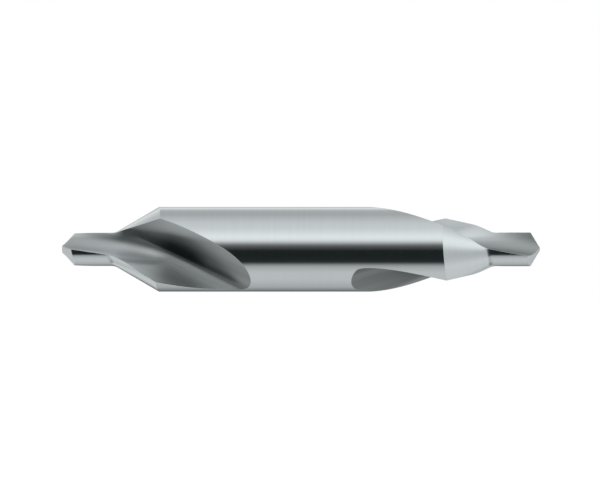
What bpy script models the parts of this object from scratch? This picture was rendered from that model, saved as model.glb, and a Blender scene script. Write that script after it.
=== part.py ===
"""Double-ended centre drill, 4 mm pilot on a 10 mm body, with a 60 degree countersink at each end.

One solid, ground all over from a single bar of high-speed steel. Lengths are in metres and
angles in degrees. The axis of the drill is X, its middle is the origin and its front faces -Y.

Each end is described in its own end frame: X runs from the tip into the body, Y is the way
that the first flute faces, and Z follows by the right-hand rule. The second flute is the first
one turned by half a turn.
"""

import math

import bmesh
import bpy
from mathutils import Matrix, Vector

MM = 0.001

# Blank
OVERALL_LENGTH = 56.5 * MM
BODY_DIAMETER = 10.0 * MM
PILOT_DIAMETER = 4.0 * MM
PILOT_LENGTH = 5.5 * MM
PILOT_FILLET = 1.6 * MM
COUNTERSINK_ANGLE = 60.0

# Drill point: lips, chisel edge and the curved flanks behind the lips
POINT_ANGLE = 118.0
CHISEL_ANGLE = 111.0
FLANK_RADIUS = 2.8 * MM

# Relief behind the cutting edges: the countersink backs off along the axis, the pilot inwards.
# It starts at the small end's cutting edge and rises until it is past the heel
COUNTERSINK_RELIEF = 0.95 * MM
PILOT_RELIEF = 0.05 * MM
RELIEF_START = 5.0
RELIEF_SPAN = 118.0

# How far each end is turned about the axis, from its first flute facing the front
LEFT_END_TURN = 11.8
RIGHT_END_TURN = 93.8

# Flute, as the grinding wheel leaves it: the wheel comes in over the tip while the drill
# turns below it, and stops at WHEEL_STOP, where its round rim leaves the flute's run-out
WHEEL_RADIUS = 45.0 * MM
WHEEL_TILT = 24.7
WHEEL_STOP = 8.7 * MM
WHEEL_OFFSET = -1.55 * MM
WHEEL_CLEARANCE = 0.38 * MM
TWIST_PER_MM = 6.5
TWIST_EASING_PER_MM = 0.096

# Rim of the wheel: a blunt V with a rounded crest, one side for the heel and one for the rake
RIM_ROUNDING = 0.38 * MM
HEEL_SLOPE = 1.04
HEEL_HOLLOW_PER_MM = -0.032
RAKE_SLOPE = 0.71
RAKE_HOLLOW_PER_MM = 0.15

# Fineness of the faceted surfaces
BLANK_COLUMNS = 72
FILLET_ROWS = 4
RIM_ROWS = 26
STATION_STEP = 1.0 * MM
FLANK_STRIPS = 14

# Stock that the grinding removes, and how far the cutters reach past it
POINT_STOCK = 0.3 * MM
RUN_UP = 1.0 * MM
RIM_REACH = 0.86
CUTTER_MARGIN = 1.2

# Rounds of finding how far ahead the wheel is when it finishes a given station
SETTLING_ROUNDS = 8

STEEL_COLOUR = (0.62, 0.64, 0.65, 1.0)
STEEL_ROUGHNESS = 0.28

BODY_RADIUS = BODY_DIAMETER / 2
PILOT_RADIUS = PILOT_DIAMETER / 2
SHOULDER = PILOT_LENGTH + (BODY_RADIUS - PILOT_RADIUS) / math.tan(math.radians(COUNTERSINK_ANGLE / 2))

# Wheel directions in the end frame
TILT = math.radians(WHEEL_TILT)
WORK_AXIS = Vector((1.0, 0.0, 0.0))
FACING = Vector((0.0, 1.0, 0.0))
SIDEWAYS = Vector((0.0, 0.0, 1.0))
ALONG_WHEEL = math.cos(TILT) * WORK_AXIS + math.sin(TILT) * SIDEWAYS
SPINDLE = math.cos(TILT) * SIDEWAYS - math.sin(TILT) * WORK_AXIS
WHEEL_CENTRE = Vector((WHEEL_STOP, WHEEL_CLEARANCE + WHEEL_RADIUS, WHEEL_OFFSET))


def end_frames():
    """Placement of the left and the right end: tip position, then the turn about the axis."""
    half = OVERALL_LENGTH / 2
    left = Matrix.Translation((-half, 0.0, 0.0)) @ Matrix.Rotation(math.pi, 4, "X")
    right = Matrix.Translation((half, 0.0, 0.0)) @ Matrix.Rotation(math.pi, 4, "Z")
    return (
        left @ Matrix.Rotation(math.radians(LEFT_END_TURN), 4, "X"),
        right @ Matrix.Rotation(math.radians(RIGHT_END_TURN), 4, "X"),
    )


def turn(travel):
    """Turn of the drill, in radians, while the wheel is that far ahead of its stop."""
    steps = travel / MM
    return math.radians(TWIST_PER_MM * steps - TWIST_EASING_PER_MM * steps ** 2)


def turn_rate(travel):
    """Turn of the drill, in radians for each metre of travel."""
    return math.radians(TWIST_PER_MM - 2 * TWIST_EASING_PER_MM * travel / MM) / MM


def relief(angle):
    """Share of the relief at an angle round the end: a smooth rise, then back within the flute."""
    behind = (math.degrees(angle) - RELIEF_START) % 180.0
    if behind < RELIEF_SPAN:
        return math.sin(math.pi / 2 * behind / RELIEF_SPAN)
    return (180.0 - behind) / (180.0 - RELIEF_SPAN)


def turned_profile():
    """Half section of one end as (distance from the tip, radius), from the tip to the shoulder."""
    slope = math.radians(COUNTERSINK_ANGLE / 2)
    fillet_start = PILOT_LENGTH - PILOT_FILLET * math.tan(slope / 2)
    profile = [(-POINT_STOCK, PILOT_RADIUS)]
    for row in range(FILLET_ROWS + 1):
        angle = slope * row / FILLET_ROWS
        along = fillet_start + PILOT_FILLET * math.sin(angle)
        radius = PILOT_RADIUS + PILOT_FILLET * (1.0 - math.cos(angle))
        profile.append((along, radius))
    profile.append((SHOULDER, BODY_RADIUS))
    return profile


def relieved_ring(along, radius):
    """Ring of points of the blank, backed off behind the two cutting edges."""
    ring = []
    for column in range(BLANK_COLUMNS):
        angle = 2.0 * math.pi * column / BLANK_COLUMNS
        backed_off = relief(angle)
        if radius < BODY_RADIUS:
            ring_radius = radius - PILOT_RELIEF * backed_off
        else:
            ring_radius = radius
        if along > 0.0:
            moved = along + COUNTERSINK_RELIEF * backed_off
        else:
            moved = along
        ring.append(Vector((moved, ring_radius * math.cos(angle), ring_radius * math.sin(angle))))
    return ring


def join_rings(mesh, rings):
    """Wall of faces through a row of closed rings that have equally many points."""
    for ring, following in zip(rings, rings[1:]):
        for index in range(len(ring)):
            beside = (index + 1) % len(ring)
            mesh.faces.new((ring[index], ring[beside], following[beside], following[index]))


def nearest(points, target):
    """Index of the point that lies nearest to the target, seen along the axis."""
    return min(range(len(points)), key=lambda index: (points[index].yz - target.yz).length)


def blank_mesh():
    """Turned and relieved blank: both ends with the plain cylinder between their shoulders."""
    ends = []
    for frame in end_frames():
        ends.append([[frame @ point for point in relieved_ring(*row)] for row in turned_profile()])
    left, right = ends
    # The right end is seen the other way round, so its columns are renumbered to meet the left
    start = nearest(right[-1], left[-1][0])
    count = BLANK_COLUMNS
    right = [[ring[(start - column) % count] for column in range(count)] for ring in right]
    stack = left + right[::-1]

    mesh = bmesh.new()
    rings = [[mesh.verts.new(point) for point in ring] for ring in stack]
    join_rings(mesh, rings)
    mesh.faces.new(rings[0])
    mesh.faces.new(rings[-1])
    return finished_mesh(mesh, "blank")


def wheel_rim(across):
    """Radius of the wheel and its slope, at a distance across its width from the crest."""
    rounded = math.hypot(across, RIM_ROUNDING)
    rise = rounded - RIM_ROUNDING
    if across < 0.0:
        slope, hollow = HEEL_SLOPE, HEEL_HOLLOW_PER_MM / MM
    else:
        slope, hollow = RAKE_SLOPE, RAKE_HOLLOW_PER_MM / MM
    radius = WHEEL_RADIUS - slope * rise - hollow * rise ** 2
    return radius, -(slope + 2.0 * hollow * rise) * across / rounded


def rim_point(across, swing):
    """Point of the wheel at its stop; swing is the angle round its rim from the deepest point."""
    outward = math.sin(swing) * ALONG_WHEEL - math.cos(swing) * FACING
    return WHEEL_CENTRE + across * SPINDLE + wheel_rim(across)[0] * outward


def contact_swing(across, travel):
    """Angle round the rim where the wheel finishes the flute, touching it along its motion."""
    radius, slope = wheel_rim(across)
    rate = turn_rate(travel)
    lever = WORK_AXIS.cross(WHEEL_CENTRE) + (across + radius * slope) * WORK_AXIS.cross(SPINDLE)
    motion = WORK_AXIS + rate * lever
    fixed = slope * (SPINDLE.x + rate * WORK_AXIS.dot(WHEEL_CENTRE.cross(SPINDLE)))
    forward = ALONG_WHEEL.dot(motion)
    inward = -FACING.dot(motion)
    ratio = max(-1.0, min(1.0, fixed / math.hypot(forward, inward)))
    return math.atan2(forward, inward) - math.acos(ratio)


def flute_point(across, along):
    """Where the mark left by one point of the rim crosses a station along the axis."""
    finished = rim_point(across, contact_swing(across, 0.0))
    if along > finished.x:
        # Past the stop the wall is the wheel's own round rim
        reach = along - WHEEL_STOP - across * SPINDLE.x
        return rim_point(across, math.asin(reach / (wheel_rim(across)[0] * ALONG_WHEEL.x)))
    travel = finished.x - along
    for _ in range(SETTLING_ROUNDS):
        finished = rim_point(across, contact_swing(across, travel))
        travel = finished.x - along
    # The drill sees the wheel further ahead and turned back
    seen = Matrix.Rotation(-turn(travel), 3, "X") @ finished
    seen.x = along
    return seen


def flute_section(along):
    """Section of the space that the wheel clears: the marks side by side, then a far point."""
    # Equal steps of the inverse hyperbolic sine put more marks on the rounded crest
    limit = math.asinh(RIM_REACH * BODY_RADIUS / RIM_ROUNDING)
    section = []
    for row in range(RIM_ROWS + 1):
        across = RIM_ROUNDING * math.sinh(limit * (2.0 * row / RIM_ROWS - 1.0))
        section.append(flute_point(across, along))
    crest = flute_point(0.0, along)
    outward = (section[0] + section[-1]) / 2.0 - crest
    section.append(crest + 2.0 * BODY_RADIUS * outward.normalized())
    return section


def flute_cutter_mesh():
    """Space that the wheel clears, from ahead of the tip until it is clear of the body."""
    along = -RUN_UP
    sections = [flute_section(along)]
    while min(point.yz.length for point in sections[-1]) < CUTTER_MARGIN * BODY_RADIUS:
        along += STATION_STEP
        sections.append(flute_section(along))

    mesh = bmesh.new()
    rings = [[mesh.verts.new(point) for point in section] for section in sections]
    join_rings(mesh, rings)
    for ring in (rings[0], rings[-1]):
        for point, beside in zip(ring[:-2], ring[1:-1]):
            mesh.faces.new((ring[-1], point, beside))
    return finished_mesh(mesh, "flute_cutter")


def flank_cutter_mesh():
    """Stock ahead of one flank: straight along the lip and curved away behind it."""
    half_width = CUTTER_MARGIN * PILOT_RADIUS
    lip_slope = 1.0 / math.tan(math.radians(POINT_ANGLE / 2))
    fall = lip_slope * math.tan(math.radians(CHISEL_ANGLE - 90.0))
    base = -2.0 * half_width
    mesh = bmesh.new()
    rings = []
    for strip in range(FLANK_STRIPS + 1):
        across = half_width * (2.0 * strip / FLANK_STRIPS - 1.0)
        height = fall * across + across ** 2 / (2.0 * FLANK_RADIUS)
        section = (
            (height - lip_slope * half_width, -half_width, across),
            (height + lip_slope * half_width, half_width, across),
            (base, half_width, across),
            (base, -half_width, across),
        )
        rings.append([mesh.verts.new(corner) for corner in section])
    join_rings(mesh, rings)
    mesh.faces.new(rings[0])
    mesh.faces.new(rings[-1])
    return finished_mesh(mesh, "flank_cutter")


def finished_mesh(mesh, name):
    """Mesh datablock with flat triangles, whose faces all point out."""
    bmesh.ops.triangulate(mesh, faces=mesh.faces[:])
    bmesh.ops.recalc_face_normals(mesh, faces=mesh.faces[:])
    data = bpy.data.meshes.new(name)
    mesh.to_mesh(data)
    mesh.free()
    return data


def add_object(name, data, placement=None):
    """Object in the scene, placed by a matrix."""
    item = bpy.data.objects.new(name, data)
    if placement is not None:
        item.matrix_world = placement
    bpy.context.scene.collection.objects.link(item)
    return item


def add_cutters():
    """Two flute cutters and two flank cutters for each end, which share their meshes."""
    flute = flute_cutter_mesh()
    flank = flank_cutter_mesh()
    cutters = []
    for frame in end_frames():
        for half_turn in (0.0, math.pi):
            placement = frame @ Matrix.Rotation(half_turn, 4, "X")
            cutters.append(add_object("flute_cutter", flute, placement))
            cutters.append(add_object("flank_cutter", flank, placement))
    for cutter in cutters:
        cutter.hide_render = True
        cutter.display_type = "WIRE"
    return cutters


def ground(item, cutters):
    """Cut every flute and flank from the blank and keep the result as the object's own mesh."""
    for cutter in cutters:
        cut = item.modifiers.new(cutter.name, "BOOLEAN")
        cut.operation = "DIFFERENCE"
        cut.solver = "EXACT"
        cut.object = cutter
    evaluated = item.evaluated_get(bpy.context.evaluated_depsgraph_get())
    item_mesh = bpy.data.meshes.new_from_object(evaluated)
    item.modifiers.clear()
    item.data = item_mesh
    for cutter in cutters:
        bpy.data.objects.remove(cutter, do_unlink=True)


def ground_steel():
    """Bright ground high-speed steel."""
    material = bpy.data.materials.new("ground_steel")
    material.use_nodes = True
    shader = material.node_tree.nodes["Principled BSDF"]
    shader.inputs["Base Color"].default_value = STEEL_COLOUR
    shader.inputs["Metallic"].default_value = 1.0
    shader.inputs["Roughness"].default_value = STEEL_ROUGHNESS
    return material


def centre_drill():
    """The finished drill."""
    drill = add_object("centre_drill", blank_mesh())
    ground(drill, add_cutters())
    drill.data.materials.clear()
    drill.data.materials.append(ground_steel())
    drill.data.shade_smooth()
    drill.data.set_sharp_from_angle(angle=math.radians(30.0))
    return drill


for leftover in list(bpy.data.objects):
    bpy.data.objects.remove(leftover, do_unlink=True)
centre_drill()
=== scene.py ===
"""Studio scene of a double-ended centre drill, ground from one bar of high-speed steel.

The drill is the same form as the solid, with finer facets, so that the polished walls mirror the
studio cleanly. Lengths are in metres and angles in degrees. The axis of the drill is X, its
middle is the origin and its front faces -Y.

Each end is described in its own end frame: X runs from the tip into the body, Y is the way
that the first flute faces, and Z follows by the right-hand rule.
"""

import math
from collections import namedtuple

import bmesh
import bpy
from mathutils import Matrix, Vector


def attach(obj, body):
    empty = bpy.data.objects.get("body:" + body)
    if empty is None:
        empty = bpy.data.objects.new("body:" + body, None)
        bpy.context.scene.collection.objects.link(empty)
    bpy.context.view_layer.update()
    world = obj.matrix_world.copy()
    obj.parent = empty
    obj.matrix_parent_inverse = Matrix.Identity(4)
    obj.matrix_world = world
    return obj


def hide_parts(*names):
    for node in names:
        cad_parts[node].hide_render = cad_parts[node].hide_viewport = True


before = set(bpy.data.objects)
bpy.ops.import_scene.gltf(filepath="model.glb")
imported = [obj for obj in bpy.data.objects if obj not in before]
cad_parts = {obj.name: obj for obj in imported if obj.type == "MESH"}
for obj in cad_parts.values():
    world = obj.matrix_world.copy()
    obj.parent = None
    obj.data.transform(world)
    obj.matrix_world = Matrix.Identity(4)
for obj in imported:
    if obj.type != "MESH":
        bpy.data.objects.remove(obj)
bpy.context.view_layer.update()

MM = 0.001
MICRON = 0.000001

# Blank
OVERALL_LENGTH = 56.5 * MM
BODY_RADIUS = 5.0 * MM
PILOT_RADIUS = 2.0 * MM
PILOT_LENGTH = 5.5 * MM
PILOT_FILLET = 1.6 * MM
COUNTERSINK_ANGLE = 60.0

# Drill point
POINT_ANGLE = 118.0
CHISEL_ANGLE = 111.0
FLANK_RADIUS = 2.8 * MM

# Relief behind the cutting edges
COUNTERSINK_RELIEF = 0.95 * MM
PILOT_RELIEF = 0.05 * MM
RELIEF_START = 5.0
RELIEF_SPAN = 118.0

# How far each end is turned about the axis, from its first flute facing the front
LEFT_END_TURN = 11.8
RIGHT_END_TURN = 93.8

# Grinding wheel of the flutes
WHEEL_RADIUS = 45.0 * MM
WHEEL_TILT = 24.7
WHEEL_STOP = 8.7 * MM
WHEEL_OFFSET = -1.55 * MM
WHEEL_CLEARANCE = 0.38 * MM
TWIST_PER_MM = 6.5
TWIST_EASING_PER_MM = 0.096
RIM_ROUNDING = 0.38 * MM
HEEL_SLOPE = 1.04
HEEL_HOLLOW_PER_MM = -0.032
RAKE_SLOPE = 0.71
RAKE_HOLLOW_PER_MM = 0.15

# Fineness
BLANK_COLUMNS = 360
FILLET_ROWS = 10
RIM_ROWS = 64
STATION_STEP = 0.3 * MM
FLANK_STRIPS = 48
SETTLING_ROUNDS = 8

# Stock ahead of the tip, from which the point is ground, and where the flutes start ahead of it
POINT_STOCK = 0.3 * MM
RUN_UP = 1.0 * MM

# Width of the wheel to each side of its crest, as a share of the body's radius, and how far the
# cutters reach past what they cut
RIM_REACH = 0.86
CUTTER_MARGIN = 1.2

# Angle between two facets above which their edge is crisp
CRISP_ANGLE = 25.0

# What follows from these, in the end frame
CONE_RISE = math.tan(math.radians(COUNTERSINK_ANGLE / 2))
SHOULDER = PILOT_LENGTH + (BODY_RADIUS - PILOT_RADIUS) / CONE_RISE
TILT = math.radians(WHEEL_TILT)
WORK_AXIS = Vector((1.0, 0.0, 0.0))
FACING = Vector((0.0, 1.0, 0.0))
SIDEWAYS = Vector((0.0, 0.0, 1.0))
ALONG_WHEEL = math.cos(TILT) * WORK_AXIS + math.sin(TILT) * SIDEWAYS
SPINDLE = math.cos(TILT) * SIDEWAYS - math.sin(TILT) * WORK_AXIS
WHEEL_CENTRE = Vector((WHEEL_STOP, WHEEL_CLEARANCE + WHEEL_RADIUS, WHEEL_OFFSET))

# Photograph's frame: 600 pixels across, the drill's middle and axis a little off its centre
PIXELS_PER_MM = 478.0 / 56.5
PHOTO_WIDTH = 600.0
VIEW_CENTRE = (-1.0 / PIXELS_PER_MM * MM, -0.65 / PIXELS_PER_MM * MM)
CAMERA_DISTANCE = 0.9
CAMERA_NEAR = 0.01
SENSOR_WIDTH = 36.0

# Floor: how far it lies below the drill and reaches to each side, its tone and roughness, and
# the glow that only the camera sees, which makes it white in the picture where no shadow falls
FLOOR_DROP = 36.0 * MM
FLOOR_REACH = 4.0
FLOOR_TONE = 0.8
FLOOR_ROUGHNESS = 0.9
FLOOR_GLOW = 0.3

# Lamp: its place above the drill and towards the camera, its width and its power in watts
LAMP_HEIGHT = 0.5
LAMP_FORWARD = 0.1
LAMP_WIDTH = 0.25
LAMP_POWER = 1.2

# Steel, and its finish on each kind of ground surface. The grinding leaves fine lines, which
# spread a highlight across themselves as far as drawn_out says. Soft streaks, each a few lines
# wide, change the roughness and the tone by up to their spreads.
STEEL = (0.612, 0.657, 0.668)
Finish = namedtuple(
    "Finish", "roughness drawn_out lines_per_mm line_depth_um roughness_spread tone_spread"
)
CONE_FINISH = Finish(0.17, 0.3, 9.0, 0.5, 0.012, 0.02)
SHANK_FINISH = Finish(0.15, 0.3, 12.0, 0.4, 0.008, 0.015)
FLUTE_FINISH = Finish(0.305, 0.3, 6.0, 2.4, 0.02, 0.1)
FLANK_FINISH = Finish(0.3, 0.8, 10.0, 1.5, 0.03, 0.04)

# Lines and streaks: the map of their lay, the width of a streak in lines, how many grains of
# each there are in a millimetre along them, and the detail, roughness and usual range of their
# noise
LAY_MAP = "lay"
STREAK_LINES = 4.0
LINES_ALONG = 0.15
STREAKS_ALONG = 0.06
LINE_DETAIL = 3.0
STREAK_DETAIL = 2.0
NOISE_ROUGHNESS = 0.6
NOISE_USUAL = (0.25, 0.75)

# Soft edges, as the light sees them
EDGE_RADIUS = 0.04 * MM
EDGE_SAMPLES = 4


def end_frames():
    """Placement of the left and the right end: tip position, then the turn about the axis."""
    half = OVERALL_LENGTH / 2
    left = Matrix.Translation((-half, 0.0, 0.0)) @ Matrix.Rotation(math.pi, 4, "X")
    right = Matrix.Translation((half, 0.0, 0.0)) @ Matrix.Rotation(math.pi, 4, "Z")
    return (
        left @ Matrix.Rotation(math.radians(LEFT_END_TURN), 4, "X"),
        right @ Matrix.Rotation(math.radians(RIGHT_END_TURN), 4, "X"),
    )


def turn(travel):
    """Turn of the drill, in radians, while the wheel is that far ahead of its stop."""
    steps = travel / MM
    return math.radians(TWIST_PER_MM * steps - TWIST_EASING_PER_MM * steps ** 2)


def turn_rate(travel):
    """Turn of the drill, in radians for each metre of travel."""
    return math.radians(TWIST_PER_MM - 2 * TWIST_EASING_PER_MM * travel / MM) / MM


def relief(angle):
    """Share of the relief at an angle round the end: a smooth rise, then back within the flute."""
    behind = (math.degrees(angle) - RELIEF_START) % 180.0
    if behind < RELIEF_SPAN:
        return math.sin(math.pi / 2 * behind / RELIEF_SPAN)
    return (180.0 - behind) / (180.0 - RELIEF_SPAN)


def turned_profile():
    """Half section of one end as (distance from the tip, radius), from the tip to the shoulder."""
    slope = math.radians(COUNTERSINK_ANGLE / 2)
    fillet_start = PILOT_LENGTH - PILOT_FILLET * math.tan(slope / 2)
    profile = [(-POINT_STOCK, PILOT_RADIUS)]
    for row in range(FILLET_ROWS + 1):
        angle = slope * row / FILLET_ROWS
        along = fillet_start + PILOT_FILLET * math.sin(angle)
        radius = PILOT_RADIUS + PILOT_FILLET * (1.0 - math.cos(angle))
        profile.append((along, radius))
    profile.append((SHOULDER, BODY_RADIUS))
    return profile


def relieved_ring(along, radius):
    """Ring of points of the blank, backed off behind the two cutting edges."""
    ring = []
    for column in range(BLANK_COLUMNS):
        angle = 2.0 * math.pi * column / BLANK_COLUMNS
        backed_off = relief(angle)
        if radius < BODY_RADIUS:
            ring_radius = radius - PILOT_RELIEF * backed_off
        else:
            ring_radius = radius
        if along > 0.0:
            moved = along + COUNTERSINK_RELIEF * backed_off
        else:
            moved = along
        ring.append(Vector((moved, ring_radius * math.cos(angle), ring_radius * math.sin(angle))))
    return ring


def wheel_rim(across):
    """Radius of the wheel and its slope, at a distance across its width from the crest."""
    rounded = math.hypot(across, RIM_ROUNDING)
    rise = rounded - RIM_ROUNDING
    if across < 0.0:
        slope, hollow = HEEL_SLOPE, HEEL_HOLLOW_PER_MM / MM
    else:
        slope, hollow = RAKE_SLOPE, RAKE_HOLLOW_PER_MM / MM
    radius = WHEEL_RADIUS - slope * rise - hollow * rise ** 2
    return radius, -(slope + 2.0 * hollow * rise) * across / rounded


def rim_point(across, swing):
    """Point of the wheel at its stop; swing is the angle round its rim from the deepest point."""
    outward = math.sin(swing) * ALONG_WHEEL - math.cos(swing) * FACING
    return WHEEL_CENTRE + across * SPINDLE + wheel_rim(across)[0] * outward


def contact_swing(across, travel):
    """Angle round the rim where the wheel finishes the flute, touching it along its motion."""
    radius, slope = wheel_rim(across)
    rate = turn_rate(travel)
    lever = WORK_AXIS.cross(WHEEL_CENTRE) + (across + radius * slope) * WORK_AXIS.cross(SPINDLE)
    motion = WORK_AXIS + rate * lever
    fixed = slope * (SPINDLE.x + rate * WORK_AXIS.dot(WHEEL_CENTRE.cross(SPINDLE)))
    forward = ALONG_WHEEL.dot(motion)
    inward = -FACING.dot(motion)
    ratio = max(-1.0, min(1.0, fixed / math.hypot(forward, inward)))
    return math.atan2(forward, inward) - math.acos(ratio)


def flute_point(across, along):
    """Where the mark left by one point of the rim crosses a station along the axis."""
    finished = rim_point(across, contact_swing(across, 0.0))
    if along > finished.x:
        # Past the stop the wall is the wheel's own round rim
        reach = along - WHEEL_STOP - across * SPINDLE.x
        return rim_point(across, math.asin(reach / (wheel_rim(across)[0] * ALONG_WHEEL.x)))
    travel = finished.x - along
    for _ in range(SETTLING_ROUNDS):
        finished = rim_point(across, contact_swing(across, travel))
        travel = finished.x - along
    # The drill sees the wheel further ahead and turned back
    seen = Matrix.Rotation(-turn(travel), 3, "X") @ finished
    seen.x = along
    return seen


def lay_face(mesh, corners, lay):
    """Face whose corners carry their place in the lay of the grinding lines, in millimetres."""
    face = mesh.faces.new([corner[0] for corner in corners])
    for loop, corner in zip(face.loops, corners):
        loop[lay].uv = corner[1]
    return face


def finished_mesh(mesh, name, materials):
    """Mesh datablock with flat triangles, whose faces all point out."""
    bmesh.ops.triangulate(mesh, faces=mesh.faces[:])
    bmesh.ops.recalc_face_normals(mesh, faces=mesh.faces[:])
    data = bpy.data.meshes.new(name)
    mesh.to_mesh(data)
    mesh.free()
    for material in materials:
        data.materials.append(material)
    return data


def blank_mesh(turned, shank):
    """Turned and relieved blank. The lines of the finish run round it."""
    ends = []
    for end_frame in end_frames():
        ends.append([[end_frame @ p for p in relieved_ring(*row)] for row in turned_profile()])
    left, right = ends
    first = left[-1][0]
    count = BLANK_COLUMNS
    start = min(range(count), key=lambda index: (right[-1][index].yz - first.yz).length)
    right = [[ring[(start - column) % count] for column in range(count)] for ring in right]
    stack = left + right[::-1]

    mesh = bmesh.new()
    lay = mesh.loops.layers.uv.new(LAY_MAP)
    around = 2.0 * math.pi * BODY_RADIUS / MM / count
    rings = [[(mesh.verts.new(p), p.x / MM) for p in ring] for ring in stack]
    for index, (ring, following) in enumerate(zip(rings, rings[1:])):
        for column in range(count):
            beside = (column + 1) % count
            corners = []
            for vert, x, turned_by in (
                (*ring[column], column),
                (*ring[beside], column + 1),
                (*following[beside], column + 1),
                (*following[column], column),
            ):
                corners.append((vert, (x, turned_by * around)))
            face = lay_face(mesh, corners, lay)
            if index == len(left) - 1:
                face.material_index = 1
    mesh.faces.new([vert for vert, _ in rings[0]])
    mesh.faces.new([vert for vert, _ in rings[-1]])
    return finished_mesh(mesh, "blank", (turned, shank))


def flute_section(along):
    """Section of the space that the wheel clears, each point with its place across the rim."""
    limit = math.asinh(RIM_REACH * BODY_RADIUS / RIM_ROUNDING)
    section = []
    for row in range(RIM_ROWS + 1):
        across = RIM_ROUNDING * math.sinh(limit * (2.0 * row / RIM_ROWS - 1.0))
        section.append((flute_point(across, along), across / MM))
    crest = flute_point(0.0, along)
    outward = (section[0][0] + section[-1][0]) / 2.0 - crest
    section.append((crest + 2.0 * BODY_RADIUS * outward.normalized(), 0.0))
    return section


def flute_cutter_mesh(material):
    """Space that the wheel clears. The lines of the finish run along the flute."""
    along = -RUN_UP
    sections = [flute_section(along)]
    while min(point.yz.length for point, _ in sections[-1]) < CUTTER_MARGIN * BODY_RADIUS:
        along += STATION_STEP
        sections.append(flute_section(along))

    mesh = bmesh.new()
    lay = mesh.loops.layers.uv.new(LAY_MAP)
    rings = []
    for section in sections:
        rings.append([(mesh.verts.new(p), (across, p.x / MM)) for p, across in section])
    for ring, following in zip(rings, rings[1:]):
        for index in range(len(ring)):
            beside = (index + 1) % len(ring)
            lay_face(mesh, (ring[index], ring[beside], following[beside], following[index]), lay)
    for ring in (rings[0], rings[-1]):
        for point, beside in zip(ring[:-2], ring[1:-1]):
            lay_face(mesh, (ring[-1], point, beside), lay)
    return finished_mesh(mesh, "flute_cutter", (material,))


def flank_cutter_mesh(material):
    """Stock ahead of one flank. The lines of the finish run along the lip."""
    half_width = CUTTER_MARGIN * PILOT_RADIUS
    lip_slope = 1.0 / math.tan(math.radians(POINT_ANGLE / 2))
    fall = lip_slope * math.tan(math.radians(CHISEL_ANGLE - 90.0))
    base = -2.0 * half_width
    mesh = bmesh.new()
    lay = mesh.loops.layers.uv.new(LAY_MAP)
    rings = []
    for strip in range(FLANK_STRIPS + 1):
        across = half_width * (2.0 * strip / FLANK_STRIPS - 1.0)
        height = fall * across + across ** 2 / (2.0 * FLANK_RADIUS)
        section = (
            (height - lip_slope * half_width, -half_width, across),
            (height + lip_slope * half_width, half_width, across),
            (base, half_width, across),
            (base, -half_width, across),
        )
        rings.append([(mesh.verts.new(p), (p[2] / MM, p[1] / MM)) for p in section])
    for ring, following in zip(rings, rings[1:]):
        for corner in range(4):
            beside = (corner + 1) % 4
            lay_face(mesh, (ring[corner], ring[beside], following[beside], following[corner]), lay)
    mesh.faces.new([vert for vert, _ in rings[0]])
    mesh.faces.new([vert for vert, _ in rings[-1]])
    return finished_mesh(mesh, "flank_cutter", (material,))


def add_object(name, data, placement=None):
    """Object in the scene, placed by a matrix."""
    item = bpy.data.objects.new(name, data)
    if placement is not None:
        item.matrix_world = placement
    bpy.context.scene.collection.objects.link(item)
    return item


def ground(item, cutters):
    """Cut every flute and flank from the blank and keep the result as the object's own mesh."""
    for cutter in cutters:
        cut = item.modifiers.new(cutter.name, "BOOLEAN")
        cut.operation = "DIFFERENCE"
        cut.solver = "EXACT"
        cut.material_mode = "TRANSFER"
        cut.object = cutter
    evaluated = item.evaluated_get(bpy.context.evaluated_depsgraph_get())
    result = bpy.data.meshes.new_from_object(evaluated)
    item.modifiers.clear()
    item.data = result
    for cutter in cutters:
        bpy.data.objects.remove(cutter, do_unlink=True)


def sharpen(data, limit):
    """Smooth shading within each ground surface, and a crisp edge wherever two of them meet."""
    data.shade_smooth()
    mesh = bmesh.new()
    mesh.from_mesh(data)
    for edge in mesh.edges:
        if len(edge.link_faces) == 2:
            first, second = edge.link_faces
            meets = first.material_index != second.material_index
            edge.smooth = not (meets or edge.calc_face_angle(0.0) > limit)
    mesh.to_mesh(data)
    mesh.free()


def drill_piece():
    """The finished drill, with a material for each kind of ground surface."""
    turned = ground_steel("ground_cone", CONE_FINISH)
    shank = ground_steel("ground_shank", SHANK_FINISH)
    flute_steel_painted = ground_steel("ground_flute_painted_reflections", FLUTE_FINISH)
    # The flutes' colour carries painted reflections: painted shade deep in the crease and painted
    # highlights beside it.
    paint_flute_reflections(flute_steel_painted)
    flank_steel = ground_steel("ground_flank", FLANK_FINISH)
    drill = add_object("centre_drill_ground", blank_mesh(turned, shank))
    flute = flute_cutter_mesh(flute_steel_painted)
    flank = flank_cutter_mesh(flank_steel)
    cutters = []
    for end_frame in end_frames():
        for half_turn in (0.0, math.pi):
            placement = end_frame @ Matrix.Rotation(half_turn, 4, "X")
            cutters.append(add_object("flute_cutter", flute, placement))
            cutters.append(add_object("flank_cutter", flank, placement))
    ground(drill, cutters)
    sharpen(drill.data, math.radians(CRISP_ANGLE))
    return drill


def new_node(tree, kind, **settings):
    """Shader node with its settings."""
    node = tree.nodes.new(kind)
    for name, value in settings.items():
        setattr(node, name, value)
    return node


def parted(tree, vector):
    """The three components of a vector."""
    split = new_node(tree, "ShaderNodeSeparateXYZ")
    tree.links.new(vector, split.inputs[0])
    return split.outputs


def worked_out(tree, operation, *values):
    """Result of a maths node on values, each of which is a socket or a plain number."""
    node = new_node(tree, "ShaderNodeMath", operation=operation)
    for socket, value in zip(node.inputs, values):
        if isinstance(value, float):
            socket.default_value = value
        else:
            tree.links.new(value, socket)
    return node.outputs[0]


def ranged(tree, value, low, high, from_low, from_high):
    """Value mapped from one range to another, and kept within it."""
    node = new_node(tree, "ShaderNodeMapRange")
    tree.links.new(value, node.inputs["Value"])
    node.inputs["From Min"].default_value = from_low
    node.inputs["From Max"].default_value = from_high
    node.inputs["To Min"].default_value = low
    node.inputs["To Max"].default_value = high
    return node.outputs["Result"]


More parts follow.
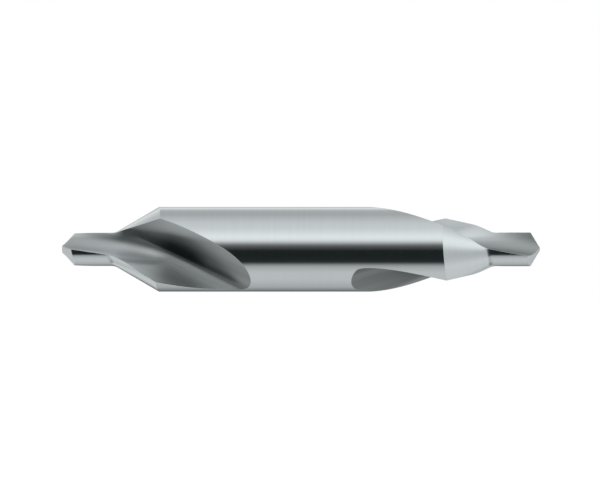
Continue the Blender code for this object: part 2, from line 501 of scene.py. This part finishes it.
def eased(tree, value, low, high, from_low, from_high):
    """As ranged, with a soft start and end."""
    result = ranged(tree, value, low, high, from_low, from_high)
    result.node.interpolation_type = "SMOOTHSTEP"
    return result


def grey_ramp(tree, value, tones, white):
    """Grey that follows a value through (value, grey) pairs. White stands for the ramp's 1."""
    first, last = tones[0][0], tones[-1][0]
    ramp = new_node(tree, "ShaderNodeValToRGB")
    tree.links.new(ranged(tree, value, 0.0, 1.0, first, last), ramp.inputs["Fac"])
    elements = ramp.color_ramp.elements
    while len(elements) < len(tones):
        elements.new(1.0)
    for element, (place, tone) in zip(elements, tones):
        shade = tone / white
        element.position = (place - first) / (last - first)
        element.color = (shade * (DARK_RED if tone < DARK else 1.0), shade, shade, 1.0)
    return ramp.outputs["Color"]


def taken_over(tree, before, after, share):
    """Colour that goes from before to after as the share goes from 0 to 1."""
    mixed = new_node(tree, "ShaderNodeMix", data_type="RGBA")
    tree.links.new(share, mixed.inputs["Factor"])
    tree.links.new(before, mixed.inputs["A"])
    tree.links.new(after, mixed.inputs["B"])
    return mixed.outputs["Result"]


def lay_noise(tree, across, along, detail):
    """Noise drawn out along the lines; across and along are its grains per millimetre."""
    lay = new_node(tree, "ShaderNodeUVMap", uv_map=LAY_MAP)
    stretched = new_node(tree, "ShaderNodeMapping")
    stretched.inputs["Scale"].default_value = (across, along, 1.0)
    tree.links.new(lay.outputs["UV"], stretched.inputs["Vector"])
    noise = new_node(tree, "ShaderNodeTexNoise")
    noise.inputs["Scale"].default_value = 1.0
    noise.inputs["Detail"].default_value = detail
    noise.inputs["Roughness"].default_value = NOISE_ROUGHNESS
    tree.links.new(stretched.outputs["Vector"], noise.inputs["Vector"])
    return noise.outputs["Fac"]


def ground_steel(name, finish):
    """Bright ground high-speed steel, with fine lines and soft streaks along the grinding."""
    material = bpy.data.materials.new(name)
    material.use_nodes = True
    tree = material.node_tree
    shader = tree.nodes["Principled BSDF"]
    shader.inputs["Metallic"].default_value = 1.0
    shader.inputs["Anisotropic"].default_value = finish.drawn_out
    across_lines = new_node(tree, "ShaderNodeTangent", direction_type="UV_MAP", uv_map=LAY_MAP)
    tree.links.new(across_lines.outputs["Tangent"], shader.inputs["Tangent"])
    lines = lay_noise(tree, finish.lines_per_mm, LINES_ALONG, LINE_DETAIL)
    streaks_per_mm = finish.lines_per_mm / STREAK_LINES
    streaks = lay_noise(tree, streaks_per_mm, STREAKS_ALONG, STREAK_DETAIL)

    tone = new_node(tree, "ShaderNodeMix", data_type="RGBA")
    for socket, change in (("A", -finish.tone_spread), ("B", finish.tone_spread)):
        tone.inputs[socket].default_value = (*(c * (1.0 + change) for c in STEEL), 1.0)
    tree.links.new(ranged(tree, streaks, 0.0, 1.0, *NOISE_USUAL), tone.inputs["Factor"])
    tree.links.new(tone.outputs["Result"], shader.inputs["Base Color"])
    smoothest = finish.roughness - finish.roughness_spread
    roughest = finish.roughness + finish.roughness_spread
    uneven = ranged(tree, streaks, smoothest, roughest, *NOISE_USUAL)
    tree.links.new(uneven, shader.inputs["Roughness"])

    bump = new_node(tree, "ShaderNodeBump")
    bump.inputs["Strength"].default_value = 1.0
    bump.inputs["Distance"].default_value = finish.line_depth_um * MICRON
    tree.links.new(lines, bump.inputs["Height"])
    edge = new_node(tree, "ShaderNodeBevel", samples=EDGE_SAMPLES)
    edge.inputs["Radius"].default_value = EDGE_RADIUS
    tree.links.new(edge.outputs["Normal"], bump.inputs["Normal"])
    tree.links.new(bump.outputs["Normal"], shader.inputs["Normal"])
    return material


# Painted reflections on the flutes, across the wheel's mark: (millimetres from its crest,
# brightness that multiplies the steel's colour). The heel's side is below 0 and the rake's side
# above. Tones above 1 are painted highlights and tones below 1 are painted shade. On the pilot
# both sides carry painted highlights. Along the cone the heel's side gets darker towards the
# crest, a painted shade.
# In the middle the crest is darkest, a painted shade that darkens the rake's side as well. That
# eases off towards the end of the run-out.
PILOT_PAINTED_TONES = (
    (-4, 1.3), (-0.22, 1.3), (-0.1, 0.6), (0.05, 0.72), (0.2, 0.77), (0.7, 1.3), (1.3, 1.25),
    (4, 1.1),
)
CONE_PAINTED_TONES = (
    (-4, 0.6), (-1, 0.25), (-0.2, 0.22), (0, 0.75), (0.2, 0.8), (0.7, 1.3), (1.3, 1.25),
    (2.2, 1.02), (4, 1.1),
)
MIDDLE_PAINTED_TONES = (
    (-4, 0.62), (-2, 0.32), (-1.2, 0.12), (-0.3, 0.1), (0.1, 0.4), (0.5, 0.5), (1.1, 1.1),
    (2.1, 0.8), (4, 1.0),
)
END_PAINTED_TONES = ((-4, 0.62), (-2, 0.4), (-1, 0.48), (-0.3, 0.28), (0.4, 0.4), (1.1, 1.0), (4, 1.1))
BRIGHTEST_PAINTED_FLUTE = 1.3

# Millimetres from the tip within which one profile takes over from the one before it
CONE_BEGINS = (5.5, 7.5)
MIDDLE_BEGINS = (10.5, 13.0)
END_BEGINS = (15.3, 17.8)

# The right end's flutes are painted a little darker than the left end's, a painted shade. The
# change lies near the drill's middle, where there is no flute.
RIGHT_END_PAINTED_SHADE = 0.83
ENDS_MEET = (-1.0 * MM, 1.0 * MM)

# What the wheel's worn crest and the run near the tip add to the roughness of the flutes, and
# the distances in millimetres over which that fades
CREST_WEAR = 0.08
CREST_WEAR_FADES = (0.1, 0.6)
TIP_WEAR = 0.15
TIP_WEAR_FADES = (8.0, 13.0)


def paint_flute_reflections(material):
    """Painted reflections by place on the wheel's mark (painted shade in the crease, painted
    highlights beside it), a painted shade on the right end, and more roughness from wear at its
    crest and near the tip.
    """
    tree = material.node_tree
    shader = tree.nodes["Principled BSDF"]
    lay = new_node(tree, "ShaderNodeUVMap", uv_map=LAY_MAP)
    across, along, _ = parted(tree, lay.outputs["UV"])

    tones = grey_ramp(tree, across, PILOT_PAINTED_TONES, BRIGHTEST_PAINTED_FLUTE)
    for later, begins in (
        (CONE_PAINTED_TONES, CONE_BEGINS),
        (MIDDLE_PAINTED_TONES, MIDDLE_BEGINS),
        (END_PAINTED_TONES, END_BEGINS),
    ):
        later_painted_tones = grey_ramp(tree, across, later, BRIGHTEST_PAINTED_FLUTE)
        tones = taken_over(tree, tones, later_painted_tones, eased(tree, along, 0.0, 1.0, *begins))
    # Painted reflections: the tones multiply the steel's colour, darker as painted shade and
    # brighter as painted highlights.
    painted_light_tone = new_node(tree, "ShaderNodeVectorMath", operation="MULTIPLY")
    tree.links.new(shader.inputs["Base Color"].links[0].from_socket, painted_light_tone.inputs[0])
    tree.links.new(tones, painted_light_tone.inputs[1])
    # Painted shade: the right end's flutes are darkened a little below the left end's.
    place = parted(tree, new_node(tree, "ShaderNodeTexCoord").outputs["Object"])
    right_end_painted = BRIGHTEST_PAINTED_FLUTE * RIGHT_END_PAINTED_SHADE
    share = eased(tree, place["X"], BRIGHTEST_PAINTED_FLUTE, right_end_painted, *ENDS_MEET)
    scaled = new_node(tree, "ShaderNodeVectorMath", operation="SCALE")
    tree.links.new(painted_light_tone.outputs[0], scaled.inputs[0])
    tree.links.new(share, scaled.inputs["Scale"])
    tree.links.new(scaled.outputs[0], shader.inputs["Base Color"])

    off_crest = worked_out(tree, "ABSOLUTE", across)
    crest = eased(tree, off_crest, CREST_WEAR, 0.0, *CREST_WEAR_FADES)
    tip = eased(tree, along, TIP_WEAR, 0.0, *TIP_WEAR_FADES)
    wear = worked_out(tree, "MAXIMUM", crest, tip)
    unworn = shader.inputs["Roughness"].links[0].from_socket
    tree.links.new(worked_out(tree, "ADD", wear, unworn), shader.inputs["Roughness"])


# Tones of the studio as steel mirrors it: (degrees about the drill's axis, brightness). 0 faces
# the front, 90 is overhead, -90 straight down. The first ring lies square to the axis. Where a
# direction's share along the axis grows, a ring to the left or to the right takes over from it,
# and then one beside the drill. Tones below DARK are a little cooler, with less red.
BRIGHTEST = 1.2
OBLIQUE_BLEND = (0.12, 0.38)
BESIDE_BLEND = (0.44, 0.62)
DARK = 0.1
DARK_RED = 0.75
ACROSS_TONES = (
    (-180, 0.09), (-148, 0.27), (-126, 0.56), (-90, 0.76), (-66, 0.76), (-50, 0.59), (-44, 0.43),
    (-40, 0.2), (-36, 0.03), (-3, 0.012), (9, 0.13), (14, 0.31), (19, 0.68), (25, 1.08),
    (34, 1.19), (58, 0.9), (78, 0.82), (94, 0.69), (110, 0.56), (130, 0.58), (145, 0.88),
    (156, 0.98), (168, 0.4), (173, 0.08), (180, 0.08),
)
LEFT_TONES = (
    (-180, 0.55), (-135, 0.86), (-128, 0.8), (-116, 0.42), (-102, 0.4), (-88, 0.6), (-50, 0.6),
    (-36, 0.08), (-6, 0.08), (6, 0.6), (20, 1.18), (55, 1.16), (94, 0.85), (118, 0.66),
    (150, 1.0), (180, 0.55),
)
RIGHT_TONES = (
    (-180, 0.55), (-135, 0.86), (-119, 0.34), (-100, 0.3), (-86, 0.56), (-50, 0.6), (-36, 0.08),
    (0, 0.08), (20, 0.35), (42, 0.55), (60, 1.2), (104, 1.2), (135, 0.9), (165, 0.8),
    (180, 0.55),
)
BESIDE_TONES = (
    (-180, 0.7), (-120, 0.8), (-60, 0.88), (-34, 0.7), (-12, 0.65), (2, 0.7), (30, 1.15),
    (52, 1.2), (86, 0.78), (130, 0.72), (180, 0.7),
)


def studio_world():
    """White studio, in which steel mirrors a bright ceiling and a dark side by the lens."""
    world = bpy.data.worlds.new("studio")
    bpy.context.scene.world = world
    world.use_nodes = True
    tree = world.node_tree
    tree.nodes.clear()
    right, back, up = parted(tree, new_node(tree, "ShaderNodeTexCoord").outputs["Generated"])
    left = worked_out(tree, "MULTIPLY", right, -1.0)
    sideways = worked_out(tree, "ABSOLUTE", right)
    front = worked_out(tree, "MULTIPLY", back, -1.0)
    degrees = worked_out(tree, "DEGREES", worked_out(tree, "ARCTAN2", up, front))

    tone = grey_ramp(tree, degrees, ACROSS_TONES, BRIGHTEST)
    for tones, share, blend in (
        (LEFT_TONES, left, OBLIQUE_BLEND),
        (RIGHT_TONES, right, OBLIQUE_BLEND),
        (BESIDE_TONES, sideways, BESIDE_BLEND),
    ):
        ring = grey_ramp(tree, degrees, tones, BRIGHTEST)
        tone = taken_over(tree, tone, ring, eased(tree, share, 0.0, 1.0, *blend))

    mirrored = new_node(tree, "ShaderNodeBackground")
    tree.links.new(tone, mirrored.inputs["Color"])
    mirrored.inputs["Strength"].default_value = BRIGHTEST
    plain = new_node(tree, "ShaderNodeBackground")
    plain.inputs["Color"].default_value = (1.0, 1.0, 1.0, 1.0)
    path = new_node(tree, "ShaderNodeLightPath")
    choose = new_node(tree, "ShaderNodeMixShader")
    tree.links.new(path.outputs["Is Glossy Ray"], choose.inputs["Fac"])
    tree.links.new(plain.outputs[0], choose.inputs[1])
    tree.links.new(mirrored.outputs[0], choose.inputs[2])
    output = new_node(tree, "ShaderNodeOutputWorld")
    tree.links.new(choose.outputs[0], output.inputs["Surface"])


def studio_floor():
    """Plain pale floor well below the drill, white to the camera where no shadow falls."""
    mesh = bmesh.new()
    bmesh.ops.create_grid(mesh, x_segments=1, y_segments=1, size=FLOOR_REACH)
    data = bpy.data.meshes.new("floor")
    mesh.to_mesh(data)
    mesh.free()
    floor = add_object("floor", data, Matrix.Translation((0.0, 0.0, -FLOOR_DROP)))
    floor.visible_glossy = False

    material = bpy.data.materials.new("floor")
    material.use_nodes = True
    tree = material.node_tree
    shader = tree.nodes["Principled BSDF"]
    shader.inputs["Base Color"].default_value = (FLOOR_TONE, FLOOR_TONE, FLOOR_TONE, 1.0)
    shader.inputs["Roughness"].default_value = FLOOR_ROUGHNESS
    shader.inputs["Specular IOR Level"].default_value = 0.0
    glow = new_node(tree, "ShaderNodeEmission")
    path = new_node(tree, "ShaderNodeLightPath")
    strength = ranged(tree, path.outputs["Is Camera Ray"], 0.0, FLOOR_GLOW, 0.0, 1.0)
    tree.links.new(strength, glow.inputs["Strength"])
    both = new_node(tree, "ShaderNodeAddShader")
    tree.links.new(shader.outputs[0], both.inputs[0])
    tree.links.new(glow.outputs[0], both.inputs[1])
    tree.links.new(both.outputs[0], tree.nodes["Material Output"].inputs["Surface"])
    data.materials.append(material)
    return floor


def studio_lamp():
    """Broad soft lamp overhead, which gives the floor its shadow."""
    light = bpy.data.lights.new("overhead", "AREA")
    light.shape = "DISK"
    light.size = LAMP_WIDTH
    light.energy = LAMP_POWER
    lamp = add_object("overhead", light, Matrix.Translation((0.0, -LAMP_FORWARD, LAMP_HEIGHT)))
    lamp.rotation_euler = (-math.atan2(LAMP_FORWARD, LAMP_HEIGHT), 0.0, 0.0)
    lamp.visible_glossy = False


def studio_camera():
    """Long lens square to the drill's side, framed as in the photograph."""
    camera = bpy.data.cameras.new("camera")
    camera.sensor_width = SENSOR_WIDTH
    width = PHOTO_WIDTH / PIXELS_PER_MM * MM
    camera.lens = SENSOR_WIDTH * CAMERA_DISTANCE / width
    camera.clip_start = CAMERA_NEAR
    item = add_object("camera", camera)
    item.location = (VIEW_CENTRE[0], -CAMERA_DISTANCE, VIEW_CENTRE[1])
    item.rotation_euler = (math.pi / 2, 0.0, 0.0)
    bpy.context.scene.camera = item


bpy.context.scene.view_settings.view_transform = "Standard"
studio_camera()
studio_world()
studio_lamp()
studio_floor()

drill = drill_piece()
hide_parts("centre_drill")
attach(drill, "root")
